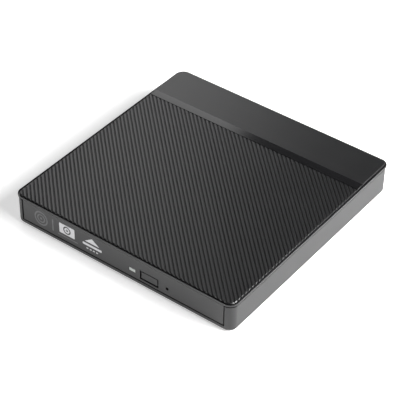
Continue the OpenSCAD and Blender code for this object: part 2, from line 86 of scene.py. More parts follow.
# Thickness of the flat cable, and where its upper leg ends at the tray.
FLEX_THICK = 0.15 * MM
FLEX_TRAY_Y = 13.7 * MM
# Radius of the shell's upright corners.
SHELL_CORNER = 4.6 * MM
# Left side, front side and size of the square chips on the main board, and two corners of the bridge board's chip.
MAIN_CHIPS = ((-17 * MM, 36 * MM, 14 * MM), (9 * MM, 38 * MM, 9 * MM))
BRIDGE_CHIP = ((-12 * MM, 61.2 * MM, 0), (-5 * MM, 67.8 * MM, 0))
FLAT = math.radians(0.5)
CREASE = math.radians(32)
UP = Vector((0, 0, 1))


# ---- settings that a user would change ----


def length(name, description, default, low=0.0, high=0.5):
    """A length in metres."""
    return bpy.props.FloatProperty(
        name=name, description=description, default=default, min=low, max=high, unit="LENGTH", precision=5
    )


def colour(name, description, default):
    """A linear colour."""
    return bpy.props.FloatVectorProperty(
        name=name, description=description, default=default, min=0, max=1, size=3, subtype="COLOR"
    )


def share(name, description, default):
    """A number from 0 to 1."""
    return bpy.props.FloatProperty(
        name=name, description=description, default=default, min=0, max=1, subtype="FACTOR"
    )


def turn(name, description, degrees):
    """An angle."""
    return bpy.props.FloatProperty(
        name=name, description=description, default=math.radians(degrees), unit="ROTATION"
    )


class DriveCoverLook(bpy.types.PropertyGroup):
    """Sizes and colour of the ribbed cover"""

    parting_gap: length("Parting gap", "Height of the gap between the cover's rim and the walls", 0.5 * MM)
    corner: length("Corner", "Radius of the cover's upright corners", 5 * MM)
    lip_width: length("Lip width", "Width of the thin lip round the rim", 0.3 * MM)
    channel_width: length("Channel width", "Width of the dark channel inside the lip", 0.75 * MM)
    channel_depth: length("Channel depth", "Depth of the dark channel inside the lip", 0.8 * MM)
    rib_pitch: length("Rib pitch", "Distance from one rib to the next", 2 * MM)
    rib_width: length("Rib width", "Width of a rib at its foot", 1.85 * MM)
    rib_height: length("Rib height", "Height of a rib above the groove", 0.42 * MM)
    rib_edge: length("Rib edge", "Size of the slope along a rib's two edges", 0.4 * MM)
    rib_turn: turn("Rib direction", "Direction of the ribs from the front edge", -45)
    band_depth: length("Band depth", "Depth of the smooth band along the back", 25.6 * MM)
    ramp_depth: length("Ramp depth", "Depth of the ramp in front of the band", 4.5 * MM)
    band_rise: length("Band rise", "Height of the band above the ribs", 0.4 * MM)
    band_edge: length("Band edge", "Rounding of the band's outer edge", 0.3 * MM)
    skirt_inset: length("Skirt inset", "Distance of the skirt from the shell's outer face", 2.2 * MM)
    skirt_thickness: length("Skirt thickness", "Thickness of the skirt", 1.2 * MM)
    skirt_depth: length("Skirt depth", "How far the skirt drops into the shell", 3 * MM)
    skirt_front: length("Skirt front", "Where the skirt ends behind the tray's front", -50 * MM, -0.5)
    post_radius: length("Post radius", "Radius of the two screw posts", 2.6 * MM)
    post_hole: length("Post hole", "Radius of the hole in a screw post", 1 * MM)
    screw_head: length("Screw head", "Radius of the head of a screw in a post", 1.9 * MM)
    tint: colour("Colour", "Colour of the cover's plastic", (0.0065, 0.0065, 0.007))
    roughness: share("Roughness", "Roughness of the cover's plastic", 0.3)
    ramp_roughness: share("Ramp roughness", "Roughness of the polished ramp", 0.1)


class DriveShellLook(bpy.types.PropertyGroup):
    """Sizes and colour of the bottom shell and what is screwed to it"""

    lower_edge: length("Lower edge", "Rounding of the shell's lower edge", 1.4 * MM)
    step_height: length("Step height", "Height of the step under the cover's rim", 0.5 * MM)
    step_depth: length("Step depth", "Depth of the step under the cover's rim", 0.9 * MM)
    small_edge: length("Small edge", "Rounding of the shell's other edges", 0.15 * MM)
    tint: colour("Colour", "Colour of the shell's plastic", (0.009, 0.009, 0.0095))
    roughness: share("Roughness", "Roughness of the shell's plastic", 0.42)


class DriveFrontLook(bpy.types.PropertyGroup):
    """Sizes and colours of the bezel, its button, lamp and printed signs"""

    outer_edge: length("Outer edge", "Rounding of the bezel's outer edge", 0.4 * MM)
    hole_edge: length("Hole edge", "Rounding of the edges round the button, lamp and pinhole", 0.15 * MM)
    button_edge: length("Button edge", "Rounding of the eject button's face", 0.3 * MM)
    print_height: length("Print height", "Thickness of the printed signs", 0.03 * MM)
    tint: colour("Colour", "Colour of the bezel's plastic", (0.011, 0.011, 0.0115))
    roughness: share("Roughness", "Roughness of the bezel's plastic", 0.38)
    light_ink: colour("Light ink", "Colour of the two bright signs", (0.55, 0.55, 0.56))
    dim_ink: colour("Dim ink", "Colour of the faint sign", (0.1, 0.1, 0.102))


class DriveMechanismLook(bpy.types.PropertyGroup):
    """Sizes of the laser's track, the chips' legs and the flat cable"""

    hub_y: length("Hub", "Where the middle of the disc lies along Y", -5 * MM, -0.5)
    track: turn("Track", "Direction in which the laser leaves the hub", 225)
    sheet_edge: length("Sheet edge", "Rounding of sheet metal edges", 0.08 * MM)
    moulded_edge: length("Moulded edge", "Rounding of small moulded pieces", 0.2 * MM)
    fine_edge: length("Fine edge", "Rounding of the smallest pieces", 0.05 * MM)
    sled_edge: length("Sled edge", "Rounding of the die-cast sled", 0.25 * MM)
    lens_at: length("Lens position", "Distance of the lens from the hub", 24 * MM)
    lens_radius: length("Lens radius", "Radius of the lens", 1.7 * MM)
    lens_bulge: length("Lens bulge", "How far the lens bulges", 0.55 * MM)
    screw_start: length("Screw start", "Where the lead screw starts along the track", 12.6 * MM)
    screw_end: length("Screw end", "Where the lead screw ends along the track", 59.5 * MM)
    screw_side: length("Screw side", "Distance of the lead screw from the track's middle", 18.3 * MM)
    screw_radius: length("Screw radius", "Outer radius of the lead screw", 1 * MM)
    thread_lead: length("Thread lead", "How far one turn of the screw moves the sled", 3 * MM)
    thread_depth: length("Thread depth", "Depth of the screw's thread", 0.28 * MM)
    leg_pitch: length("Leg pitch", "Distance from one leg of a chip to the next", 0.8 * MM)
    leg_reach: length("Leg reach", "How far a chip's legs stand out", 0.9 * MM)
    flex_held: length("Flex hold", "Where the flat cable leaves the case's floor", 20 * MM, -0.5)
    flex_level: length("Flex level", "Height of the middle of the flat cable's fold", 5.25 * MM)


class DriveStageLook(bpy.types.PropertyGroup):
    """Camera, floor and lights"""

    azimuth: turn("Azimuth", "Direction of the camera round the case, from the front towards the right", 36.35)
    elevation: turn("Elevation", "Height of the camera above the horizon", 39.82)
    roll: turn("Roll", "Turn of the camera about its line of sight", 1.05)
    distance: length("Distance", "Distance of the camera from the case", 826.1 * MM, 0.1, 10)
    lens: bpy.props.FloatProperty(
        name="Lens", description="Focal length on a 36 mm sensor", default=140, min=20, max=400, unit="CAMERA"
    )
    shift: bpy.props.FloatVectorProperty(
        name="Shift", description="Shift of the camera's picture", default=(-0.0108, 0.009), size=2
    )
    floor_tint: colour("Floor colour", "Colour of the floor", (0.86, 0.86, 0.86))
    floor_glow: bpy.props.FloatProperty(
        name="Floor glow",
        description="Light that the floor gives out, as a light table does",
        default=0.4,
        min=0,
        max=10,
    )
    room_light: bpy.props.FloatProperty(
        name="Room light", description="Strength of the light from all round", default=0.04, min=0, max=10
    )


# ---- modelling helpers ----


def alone(piece):
    """Makes one object the only selected one, and the active one."""
    if bpy.context.object and bpy.context.object.mode != "OBJECT":
        bpy.ops.object.mode_set(mode="OBJECT")
    bpy.ops.object.select_all(action="DESELECT")
    piece.select_set(True)
    bpy.context.view_layer.objects.active = piece


def fresh(name):
    """Names the primitive that was just added, and puts its place into its mesh."""
    piece = bpy.context.object
    piece.name = name
    piece.data.name = name
    bpy.ops.object.transform_apply(location=True, rotation=True, scale=True)
    return piece


def box(name, low, high):
    """A box between two corners, as a start for a piece."""
    low, high = Vector(low), Vector(high)
    bpy.ops.object.select_all(action="DESELECT")
    bpy.ops.mesh.primitive_cube_add(size=1, location=(low + high) / 2, scale=high - low)
    return fresh(name)


def rod(name, radius, start, end, sides=48):
    """A round bar between two points, as a start for a piece."""
    start, end = Vector(start), Vector(end)
    bpy.ops.object.select_all(action="DESELECT")
    bpy.ops.mesh.primitive_cylinder_add(
        vertices=sides,
        radius=radius,
        depth=(end - start).length,
        location=(start + end) / 2,
        rotation=(end - start).to_track_quat("Z", "Y").to_euler(),
    )
    return fresh(name)


def select(piece, kind, test):
    """Opens a piece in edit mode with only those of its verts, edges or faces selected that pass a test."""
    alone(piece)
    bpy.ops.object.mode_set(mode="EDIT")
    bpy.ops.mesh.select_mode(type={"verts": "VERT", "edges": "EDGE", "faces": "FACE"}[kind])
    bpy.ops.mesh.select_all(action="DESELECT")
    mesh = bmesh.from_edit_mesh(piece.data)
    mesh.normal_update()
    chosen = [part for part in getattr(mesh, kind) if test(part)]
    if not chosen:
        raise RuntimeError(f"nothing to select on {piece.name}")
    for part in chosen:
        part.select_set(True)
    bmesh.update_edit_mesh(piece.data)


def done():
    """Leaves edit mode."""
    bpy.ops.object.mode_set(mode="OBJECT")


def round_edges(piece, test, width, segments=3):
    """Bevels the edges that pass a test."""
    select(piece, "edges", test)
    bpy.ops.mesh.bevel(offset=width, segments=segments, affect="EDGES", clamp_overlap=True)
    done()


def step_in(piece, test, width, rise):
    """Insets a face and moves what is left of it up or down, which leaves a wall behind."""
    select(piece, "faces", test)
    bpy.ops.mesh.inset(thickness=width, use_even_offset=True)
    bpy.ops.mesh.extrude_region_move(TRANSFORM_OT_translate={"value": (0, 0, rise)})
    done()


def slice_piece(piece, point, normal, keep="both"):
    """Cuts a piece along a plane. keep is both, front (the side that the normal points to) or back."""
    select(piece, "faces", lambda face: True)
    bpy.ops.mesh.bisect(
        plane_co=point,
        plane_no=normal,
        use_fill=keep != "both",
        clear_inner=keep == "front",
        clear_outer=keep == "back",
    )
    done()
    return piece


def weld(piece):
    """Merges doubles and turns the faces outwards."""
    select(piece, "faces", lambda face: True)
    bpy.ops.mesh.remove_doubles(threshold=MERGE)
    bpy.ops.mesh.normals_make_consistent(inside=False)
    done()
    return piece


def combine(piece, tool, operation):
    """Boolean of two closed shapes. The tool is used up."""
    alone(piece)
    change = piece.modifiers.new("Combine", "BOOLEAN")
    change.operation = operation
    change.object = tool
    change.solver = "EXACT"
    bpy.ops.object.modifier_apply(modifier=change.name)
    bpy.data.objects.remove(tool)
    return piece


def cut(piece, *tools):
    for tool in tools:
        combine(piece, tool, "DIFFERENCE")
    return piece


def fuse(piece, *tools):
    for tool in tools:
        combine(piece, tool, "UNION")
    return piece


def join(name, *pieces):
    """Puts separate solids into one object."""
    alone(pieces[0])
    for piece in pieces:
        piece.select_set(True)
    bpy.ops.object.join()
    pieces[0].name = name
    pieces[0].data.name = name
    return pieces[0]


def repeat(piece, count, step):
    """Copies a piece in a row with an Array modifier."""
    alone(piece)
    row = piece.modifiers.new("Row", "ARRAY")
    row.count = count
    row.use_relative_offset = False
    row.use_constant_offset = True
    row.constant_offset_displace = step
    bpy.ops.object.modifier_apply(modifier=row.name)
    return piece


def turned(piece, angle, centre=(0, 0, 0)):
    """Turns a piece about an upright line, and keeps its object at the origin."""
    alone(piece)
    piece.location = -Vector(centre)
    bpy.ops.object.transform_apply(location=True, rotation=False, scale=False)
    piece.rotation_euler.z = angle
    piece.location = centre
    bpy.ops.object.transform_apply(location=True, rotation=True, scale=False)
    return piece


def from_node(node, name):
    """A copy of a CAD node with its triangles merged into whole faces, to shape further."""
    piece = bpy.data.objects.new(name, frame["nodes"][node].data.copy())
    piece.data.name = name
    bpy.context.scene.collection.objects.link(piece)
    alone(piece)
    bpy.ops.object.mode_set(mode="EDIT")
    bpy.ops.mesh.select_all(action="SELECT")
    bpy.ops.mesh.remove_doubles(threshold=MERGE)
    bpy.ops.mesh.dissolve_limited(angle_limit=FLAT)
    done()
    return piece


def soften(piece, width, segments=2):
    """Rounds every sharp edge of a piece a little."""
    alone(piece)
    edge = piece.modifiers.new("Edges", "BEVEL")
    edge.width = width
    edge.segments = segments
    edge.limit_method = "ANGLE"
    edge.angle_limit = CREASE
    edge.miter_outer = "MITER_ARC"
    bpy.ops.object.modifier_apply(modifier=edge.name)
    return piece


def coil(name, centre, axis, radius, wire, height, turns, sides=8):
    """A coil of round wire about an axis, closed at both ends."""
    bpy.ops.object.select_all(action="DESELECT")
    bpy.ops.mesh.primitive_circle_add(
        vertices=sides, radius=wire / 2, location=(radius - wire / 2, 0, wire / 2), rotation=(math.pi / 2, 0, 0)
    )
    piece = fresh(name)
    winding = piece.modifiers.new("Winding", "SCREW")
    winding.axis = "Z"
    winding.iterations = turns
    winding.screw_offset = (height - wire) / turns
    winding.steps = 24
    winding.render_steps = 24
    bpy.ops.object.modifier_apply(modifier=winding.name)
    bpy.ops.object.mode_set(mode="EDIT")
    bpy.ops.mesh.select_all(action="SELECT")
    bpy.ops.mesh.fill_holes(sides=0)
    bpy.ops.mesh.normals_make_consistent(inside=False)
    done()
    piece.rotation_euler = Vector(axis).to_track_quat("Z", "Y").to_euler()
    piece.location = centre
    bpy.ops.object.transform_apply(location=True, rotation=True, scale=False)
    return piece


def smooth(piece, crease=CREASE):
    """Shades the roundings smooth and keeps the flats flat."""
    alone(piece)
    bpy.ops.object.shade_smooth_by_angle(angle=crease)
    flats = piece.modifiers.new("Flats", "WEIGHTED_NORMAL")
    flats.keep_sharp = True
    flats.weight = 100
    bpy.ops.object.modifier_apply(modifier=flats.name)


def complete(piece, finish, body, nodes=(), crease=CREASE):
    """Shades a finished piece, gives it its material and hands it to the frame."""
    alone(piece)
    piece.data.materials.clear()
    for material in finish if isinstance(finish, (list, tuple)) else [finish]:
        piece.data.materials.append(material)
    smooth(piece, crease)
    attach(piece, body)
    if nodes:
        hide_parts(*nodes)
    return piece


def slot_of(node):
    """The record's material slot of a CAD node."""
    return frame["nodes"][node].data.materials[0].name


def body_of(node):
    """The body that a CAD node rides on."""
    return frame["nodes"][node]["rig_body"]


def finish_node(node, width, segments=2):
    """Stands a softened copy in for a CAD node, in the material of its slot."""
    slot = slot_of(node)
    piece = soften(from_node(node, f"{node}_piece"), width, segments)
    return complete(piece, material_for(slot), body_of(node), [node])


# ---- tests for faces and edges ----


def near(a, b, slack=0.01 * MM):
    return abs(a - b) < slack


def faces_up(face):
    return face.normal.z > 0.9


def upright(edge):
    a, b = edge.verts[0].co, edge.verts[1].co
    return abs(a.z - b.z) > 0.99 * (a - b).length


def at_height(z):
    """A test for edges that lie flat at a height."""
    return lambda edge: all(near(v.co.z, z) for v in edge.verts)


def along_x(edge):
    return near(edge.verts[0].co.y, edge.verts[1].co.y)


def sharp(edge):
    return len(edge.link_faces) == 2 and edge.calc_face_angle() > CREASE


# ---- materials ----


class Recipe:
    """The nodes of one material, read from the piece's own Object coordinates."""

    def __init__(self, name):
        self.material = bpy.data.materials.new(name)
        self.material.use_nodes = True
        self.tree = self.material.node_tree
        self.shader = self.tree.nodes["Principled BSDF"]
        self.place = self.tree.nodes.new("ShaderNodeTexCoord").outputs["Object"]

    def link(self, output, node_input):
        self.tree.links.new(output, node_input)

    def set(self, **values):
        """Sets the shader's own sockets, such as Base_Color or Metallic."""
        for name, value in values.items():
            socket = self.shader.inputs[name.replace("_", " ")]
            socket.default_value = (*value, 1) if hasattr(value, "__len__") and len(value) == 3 else value

    def spot(self, stretch=(1, 1, 1)):
        """Object coordinates, stretched."""
        mapping = self.tree.nodes.new("ShaderNodeMapping")
        mapping.inputs["Scale"].default_value = stretch
        self.link(self.place, mapping.inputs["Vector"])
        return mapping.outputs["Vector"]

    def noise(self, grain, detail=3, stretch=(1, 1, 1), roughness=0.55):
        """Noise whose features are about one grain wide."""
        node = self.tree.nodes.new("ShaderNodeTexNoise")
        node.inputs["Scale"].default_value = 1 / grain
        node.inputs["Detail"].default_value = detail
        node.inputs["Roughness"].default_value = roughness
        self.link(self.spot(stretch), node.inputs["Vector"])
        return node.outputs["Fac"]

    def cells(self, size, feature="F1", randomness=1.0):
        """Distances in a pattern of cells."""
        node = self.tree.nodes.new("ShaderNodeTexVoronoi")
        node.feature = feature
        node.inputs["Scale"].default_value = 1 / size
        node.inputs["Randomness"].default_value = randomness
        self.link(self.spot(), node.inputs["Vector"])
        return node.outputs["Distance"]

    def bands(self, width, direction="X", distortion=0.0):
        """Even bands across a direction."""
        node = self.tree.nodes.new("ShaderNodeTexWave")
        node.bands_direction = direction
        node.inputs["Scale"].default_value = math.pi / (10 * width)
        node.inputs["Distortion"].default_value = distortion
        self.link(self.spot(), node.inputs["Vector"])
        return node.outputs["Fac"]

    def spread(self, value, low, high, start=0.0, end=1.0):
        """Maps a value from start and end to low and high."""
        node = self.tree.nodes.new("ShaderNodeMapRange")
        self.link(value, node.inputs["Value"])
        node.inputs["From Min"].default_value = start
        node.inputs["From Max"].default_value = end
        node.inputs["To Min"].default_value = low
        node.inputs["To Max"].default_value = high
        return node.outputs["Result"]

    def add(self, a, b, share_of_b=0.5):
        """A weighted sum of two values."""
        node = self.tree.nodes.new("ShaderNodeMix")
        node.inputs["Factor"].default_value = share_of_b
        self.link(a, node.inputs["A"])
        self.link(b, node.inputs["B"])
        return node.outputs["Result"]

    def paint(self, value, first, second):
        """Colours the surface from one colour to another by a value from 0 to 1."""
        node = self.tree.nodes.new("ShaderNodeMix")
        node.data_type = "RGBA"
        self.link(value, node.inputs["Factor"])
        node.inputs[6].default_value = (*first, 1)
        node.inputs[7].default_value = (*second, 1)
        self.link(node.outputs[2], self.shader.inputs["Base Color"])

    def gloss(self, value, low, high):
        """Drives the roughness."""
        self.link(self.spread(value, low, high), self.shader.inputs["Roughness"])

    def relief(self, value, depth, strength=1.0):
        """Drives the bump, depth in metres."""
        node = self.tree.nodes.new("ShaderNodeBump")
        node.inputs["Strength"].default_value = strength
        node.inputs["Distance"].default_value = depth
        self.link(value, node.inputs["Height"])
        self.link(node.outputs["Normal"], self.shader.inputs["Normal"])


def shade(tint, factor):
    return tuple(min(1.0, part * factor) for part in tint)


def moulded(name, tint, roughness, grain=0.3 * MM, depth=0.004 * MM, mottle=0.12):
    """Injection-moulded plastic: a spark-eroded grain, with faint cloudy changes of tone and gloss."""
    recipe = Recipe(name)
    cloud = recipe.noise(22 * MM, detail=4)
    fine = recipe.noise(grain, detail=2)
    recipe.paint(cloud, shade(tint, 1 - mottle), shade(tint, 1 + mottle))
    recipe.gloss(recipe.add(cloud, fine, 0.4), roughness - 0.05, roughness + 0.05)
    recipe.relief(fine, depth)
    return recipe.material


def rolled(name, tint, roughness, along=(1, 0.04, 1), depth=0.003 * MM, spangle=0.0):
    """Sheet or drawn metal: streaks along the rolling direction, and on zinc a faint spangle."""
    recipe = Recipe(name)
    streak = recipe.noise(0.25 * MM, detail=4, stretch=along)
    cloud = recipe.noise(9 * MM, detail=3)
    pattern = recipe.add(streak, cloud, 0.45)
    if spangle:
        pattern = recipe.add(pattern, recipe.spread(recipe.cells(2.2 * MM), 0.2, 0.8), spangle)
    recipe.set(Metallic=1.0)
    recipe.paint(pattern, shade(tint, 0.78), shade(tint, 1.12))
    recipe.gloss(pattern, roughness - 0.1, roughness + 0.12)
    recipe.relief(streak, depth)
    return recipe.material


def rubbery(name, tint, roughness, grain, depth):
    """Rubber or foam: dull, pitted and a little dusty."""
    recipe = Recipe(name)
    pits = recipe.cells(grain)
    dust = recipe.noise(3 * MM, detail=5, roughness=0.7)
    recipe.paint(dust, shade(tint, 0.75), shade(tint, 1.5))
    recipe.gloss(dust, roughness - 0.08, roughness + 0.08)
    recipe.relief(pits, depth)
    return recipe.material


def solder_mask(name, tint):
    """A circuit board: tracks under green mask, with the mask's own gloss."""
    recipe = Recipe(name)
    tracks = recipe.spread(recipe.cells(1.6 * MM, "DISTANCE_TO_EDGE", 0.75), 1.0, 0.0, 0.05, 0.16)
    weave = recipe.noise(0.5 * MM, detail=2)
    recipe.paint(recipe.add(tracks, weave, 0.25), shade(tint, 0.55), shade(tint, 2.0))
    recipe.gloss(weave, 0.22, 0.36)
    recipe.relief(recipe.add(tracks, weave, 0.2), 0.02 * MM)
    return recipe.material


def wound(name, tint):
    """Enamelled copper wire, turn beside turn."""
    recipe = Recipe(name)
    turns = recipe.bands(0.22 * MM, "Z")
    stain = recipe.noise(1.5 * MM)
    recipe.set(Metallic=0.9)
    recipe.paint(recipe.add(turns, stain, 0.4), shade(tint, 0.45), shade(tint, 1.15))
    recipe.gloss(stain, 0.22, 0.4)
    recipe.relief(turns, 0.05 * MM)
    return recipe.material


def film(name, tint):
    """Amber cable film with copper lines along the cable."""
    recipe = Recipe(name)
    lines = recipe.spread(recipe.bands(0.5 * MM, "X"), 0.0, 1.0, 0.42, 0.58)
    waves = recipe.noise(4 * MM)
    recipe.set(Coat_Weight=0.3)
    recipe.paint(lines, shade(tint, 0.55), shade(tint, 1.25))
    recipe.gloss(waves, 0.2, 0.34)
    recipe.relief(lines, 0.012 * MM)
    return recipe.material


def clear_part(name, tint, roughness, clearness):
    """Clear or frosted moulding, with a faint flow pattern."""
    recipe = Recipe(name)
    flow = recipe.noise(1.2 * MM, detail=3)
    recipe.set(Transmission_Weight=clearness, IOR=1.5)
    recipe.paint(flow, shade(tint, 0.9), shade(tint, 1.1))
    recipe.gloss(flow, roughness * 0.7, roughness * 1.3)
    recipe.relief(flow, 0.004 * MM)
    return recipe.material


def ink(name, tint):
    """Pad-printed ink: thin in places, with a dry surface."""
    recipe = Recipe(name)
    cover = recipe.noise(0.35 * MM, detail=3)
    recipe.paint(cover, shade(tint, 0.82), shade(tint, 1.1))
    recipe.gloss(cover, 0.5, 0.65)
    recipe.relief(cover, 0.004 * MM)
    return recipe.material


# What each of the record's slots is made of.
FINISHES = {
    "tray_plastic": lambda name: moulded(name, (0.012, 0.012, 0.0125), 0.55, depth=0.006 * MM),
    "foot_rubber": lambda name: rubbery(name, (0.012, 0.012, 0.012), 0.78, 0.4 * MM, 0.02 * MM),
    "zinc_screw": lambda name: rolled(name, (0.58, 0.58, 0.6), 0.3, along=(0.3, 0.3, 1)),
    "pad_foam": lambda name: rubbery(name, (0.05, 0.05, 0.052), 0.9, 0.5 * MM, 0.12 * MM),
    "circuit_board": lambda name: solder_mask(name, (0.012, 0.1, 0.045)),
    "chip_black": lambda name: moulded(name, (0.016, 0.016, 0.017), 0.6, grain=0.12 * MM, depth=0.006 * MM),
    "socket_steel": lambda name: rolled(name, (0.66, 0.66, 0.68), 0.28),
    "connector_black": lambda name: moulded(name, (0.012, 0.012, 0.013), 0.45, grain=0.2 * MM),
    "contact_gold": lambda name: rolled(name, (0.83, 0.6, 0.24), 0.25),
    "chassis_steel": lambda name: rolled(name, (0.52, 0.53, 0.55), 0.36, spangle=0.35),
    "guide_nylon": lambda name: moulded(name, (0.68, 0.64, 0.55), 0.42, grain=0.4 * MM, mottle=0.05),
    "rail_steel": lambda name: rolled(name, (0.62, 0.62, 0.64), 0.24),
    "flex_film": lambda name: film(name, (0.5, 0.22, 0.05)),
    "spring_wire": lambda name: rolled(name, (0.6, 0.6, 0.62), 0.25, along=(1, 1, 0.2)),
    "lamp_lens": lambda name: clear_part(name, (0.62, 0.66, 0.63), 0.4, 0.35),
    "coil_copper": lambda name: wound(name, (0.62, 0.26, 0.11)),
    "deck_steel": lambda name: rolled(name, (0.5, 0.5, 0.52), 0.38, along=(0.06, 1, 1), spangle=0.25),
    "rotor_steel": lambda name: rolled(name, (0.66, 0.66, 0.68), 0.22, along=(0.4, 0.4, 1)),
    "sled_alloy": lambda name: moulded(name, (0.3, 0.3, 0.31), 0.45, grain=0.35 * MM, depth=0.02 * MM),
    "screw_steel": lambda name: rolled(name, (0.62, 0.6, 0.52), 0.22, along=(1, 1, 1)),
}


def material_for(slot):
    """The material of a slot, made once."""
    name = f"{slot}_finish"
    return bpy.data.materials.get(name) or FINISHES[slot](name)


# ---- outer pieces ----


def make_cover(look):
    """The cover: a lipped rim, a channel, diagonal ribs, a ramp and a smooth band."""
    low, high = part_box("top_cover")
    rim_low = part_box("bottom_shell")[1].z + look.parting_gap
    field = high.z - look.band_rise
    groove = field - look.rib_height
    ramp_back = high.y - look.band_depth
    ramp_front = ramp_back - look.ramp_depth
    inset = look.lip_width + look.channel_width
    seat = 0.05 * MM
    left, right = low.x + inset, high.x - inset
    front, back = low.y + inset, high.y - inset
    radius = look.corner - inset

    cover = box("ribbed_cover", (low.x, low.y, rim_low), (high.x, high.y, groove))
    round_edges(cover, upright, look.corner, 12)
    step_in(cover, faces_up, look.lip_width, -look.channel_depth)
    floor_of_channel = groove - look.channel_depth
    step_in(
        cover,
        lambda face: faces_up(face) and near(face.calc_center_median().z, floor_of_channel),
        look.channel_width,
        look.channel_depth,
    )
    round_edges(cover, lambda edge: at_height(groove)(edge) and sharp(edge), 0.08 * MM, 2)

    reach = high.x - low.x
    count = 2 * math.ceil(reach / look.rib_pitch / math.sqrt(2)) + 1
    first = -(count - 1) / 2 * look.rib_pitch
    half = look.rib_width / 2
    ribs = box("ribs", (-reach, first - half, groove - seat), (reach, first + half, field))
    round_edges(ribs, lambda edge: at_height(field)(edge) and along_x(edge), look.rib_edge, 1)
    repeat(ribs, count, (0, look.rib_pitch, 0))
    turned(ribs, look.rib_turn)
    pad = box("pad", (left + seat, front + seat, groove - 1 * MM), (right - seat, ramp_front, field))
    round_edges(pad, lambda edge: upright(edge) and edge.verts[0].co.y < 0, radius, 12)
    round_edges(pad, at_height(field), look.rib_edge, 1)
    combine(ribs, pad, "INTERSECT")

    band = box("band", (left + seat, ramp_front, groove - seat), (right - seat, back - seat, high.z))
    round_edges(band, lambda edge: upright(edge) and edge.verts[0].co.y > ramp_back, radius, 12)
    slice_piece(band, (0, ramp_back, 0), (0, 1, 0))
    select(band, "verts", lambda v: near(v.co.z, high.z) and near(v.co.y, ramp_front))
    bpy.ops.transform.translate(value=(0, 0, -look.band_rise))
    done()
    round_edges(
        band,
        lambda edge: edge.calc_face_angle() > CREASE and all(v.co.z > field - seat / 2 for v in edge.verts)
        and not all(near(v.co.y, ramp_front) for v in edge.verts),
        look.band_edge,
        3,
    )
    fuse(cover, band, ribs)

    join("ribbed_cover", cover, *cover_underside(look, rim_low))
    finish = moulded("cover_plastic_finish", look.tint, look.roughness, grain=0.25 * MM, depth=0.0015 * MM)
    polished = moulded("ramp_plastic_finish", look.tint, look.ramp_roughness, grain=0.25 * MM, depth=0.0004 * MM)
    complete(cover, [finish, polished], "case", ["top_cover"])
    for face in cover.data.polygons:
        on_ramp = ramp_front - MERGE < face.center.y < ramp_back + MERGE and field + MERGE < face.center.z
        if on_ramp and 0.02 < -face.normal.y < 0.2:
            face.material_index = 1


def cover_underside(look, rim_low):
    """The wall that drops inside the shell, open at the tray's front, and the two screw posts."""
    low, high = (Vector(corner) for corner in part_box("bottom_shell"))
    inset = Vector((look.skirt_inset, look.skirt_inset, 0))
    thick = Vector((look.skirt_thickness, look.skirt_thickness, 0))
    drop = rim_low - look.skirt_depth
    outer_low, outer_high = low + inset, high - inset
    outer_low.z, outer_high.z = drop, rim_low + 0.02 * MM
    inner_low, inner_high = outer_low + thick, outer_high - thick
    inner_low.z, inner_high.z = drop - 1 * MM, rim_low + 1 * MM
    skirt = box("skirt", outer_low, outer_high)
    round_edges(skirt, upright, 2.4 * MM, 6)
    inner_low.y = outer_low.y - 1 * MM
    cut(skirt, box("room", inner_low, inner_high))
    mouth_high = (outer_high.x + 1 * MM, look.skirt_front, outer_high.z + 1 * MM)
    cut(skirt, box("mouth", outer_low - Vector((1, 1, 1)) * MM, mouth_high))
    soften(skirt, 0.15 * MM)
    pieces = [skirt]
    post_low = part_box("top_cover")[0].z
    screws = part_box("case_screws")
    screw_y = (screws[0].y + screws[1].y) / 2
    for x in (screws[0].x + look.screw_head, screws[1].x - look.screw_head):
        post = rod("post", look.post_radius, (x, screw_y, post_low), (x, screw_y, rim_low + 0.02 * MM))
        cut(post, rod("hole", look.post_hole, (x, screw_y, post_low - 1 * MM), (x, screw_y, 12 * MM)))
        pieces.append(soften(post, 0.15 * MM))
    return pieces


def make_shell(look):
    """The bottom shell, with its lower edge rolled under."""
    low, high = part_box("bottom_shell")
    shell = from_node("bottom_shell", "base_shell")

    def on_outline(vert):
        """Whether a vertex of the bottom lies on the shell's outer outline."""
        x, y = abs(vert.co.x), abs(vert.co.y)
        cx, cy = high.x - SHELL_CORNER, high.y - SHELL_CORNER
        if x > cx and y > cy:
            return near(math.hypot(x - cx, y - cy), SHELL_CORNER, 0.05 * MM)
        return near(x, high.x) or near(y, high.y)

    # The step is what a ring round the rim takes off: a collar wider than the shell, less a rounded core.
    spare = 1 * MM
    rim = Vector((high.x, high.y, high.z + spare))
    step = Vector((look.step_depth, look.step_depth, 0))
    collar_low = (-rim.x - spare, -rim.y - spare, high.z - look.step_height)
    collar = box("collar", collar_low, rim + Vector((spare, spare, 0)))
    core = box("core", (step.x - rim.x, step.y - rim.y, 0), rim - step + Vector((0, 0, spare)))
    round_edges(core, upright, SHELL_CORNER - look.step_depth, 8)
    cut(shell, cut(collar, core))

    round_edges(
        shell,
        lambda edge: at_height(low.z)(edge) and all(on_outline(v) for v in edge.verts),
        look.lower_edge,
        5,
    )
    soften(shell, look.small_edge)
    finish = moulded("shell_plastic_finish", look.tint, look.roughness, grain=0.3 * MM, depth=0.003 * MM)
    complete(shell, finish, "case", ["bottom_shell"])


def dish(foot, width, depth):
    """Sinks the middle of a foot's underside."""
    select(foot, "faces", lambda face: face.normal.z < -0.99)
    bpy.ops.mesh.inset(thickness=width, use_even_offset=True)
    bpy.ops.transform.translate(value=(0, 0, depth))
    done()


def make_feet():
    """Four turned rubber feet with a shallow dish underneath."""
    low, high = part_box("feet")
    radius = 5 * MM
    feet = []
    for x in (low.x + radius, high.x - radius):
        for y in (low.y + radius, high.y - radius):
            foot = rod("foot", radius, (x, y, high.z), (x, y, low.z), 64)
            round_edges(foot, at_height(low.z), 0.35 * MM, 4)
            dish(foot, 1.2 * MM, 0.15 * MM)
            feet.append(foot)
    complete(join("rubber_feet", *feet), material_for("foot_rubber"), "case", ["feet"])


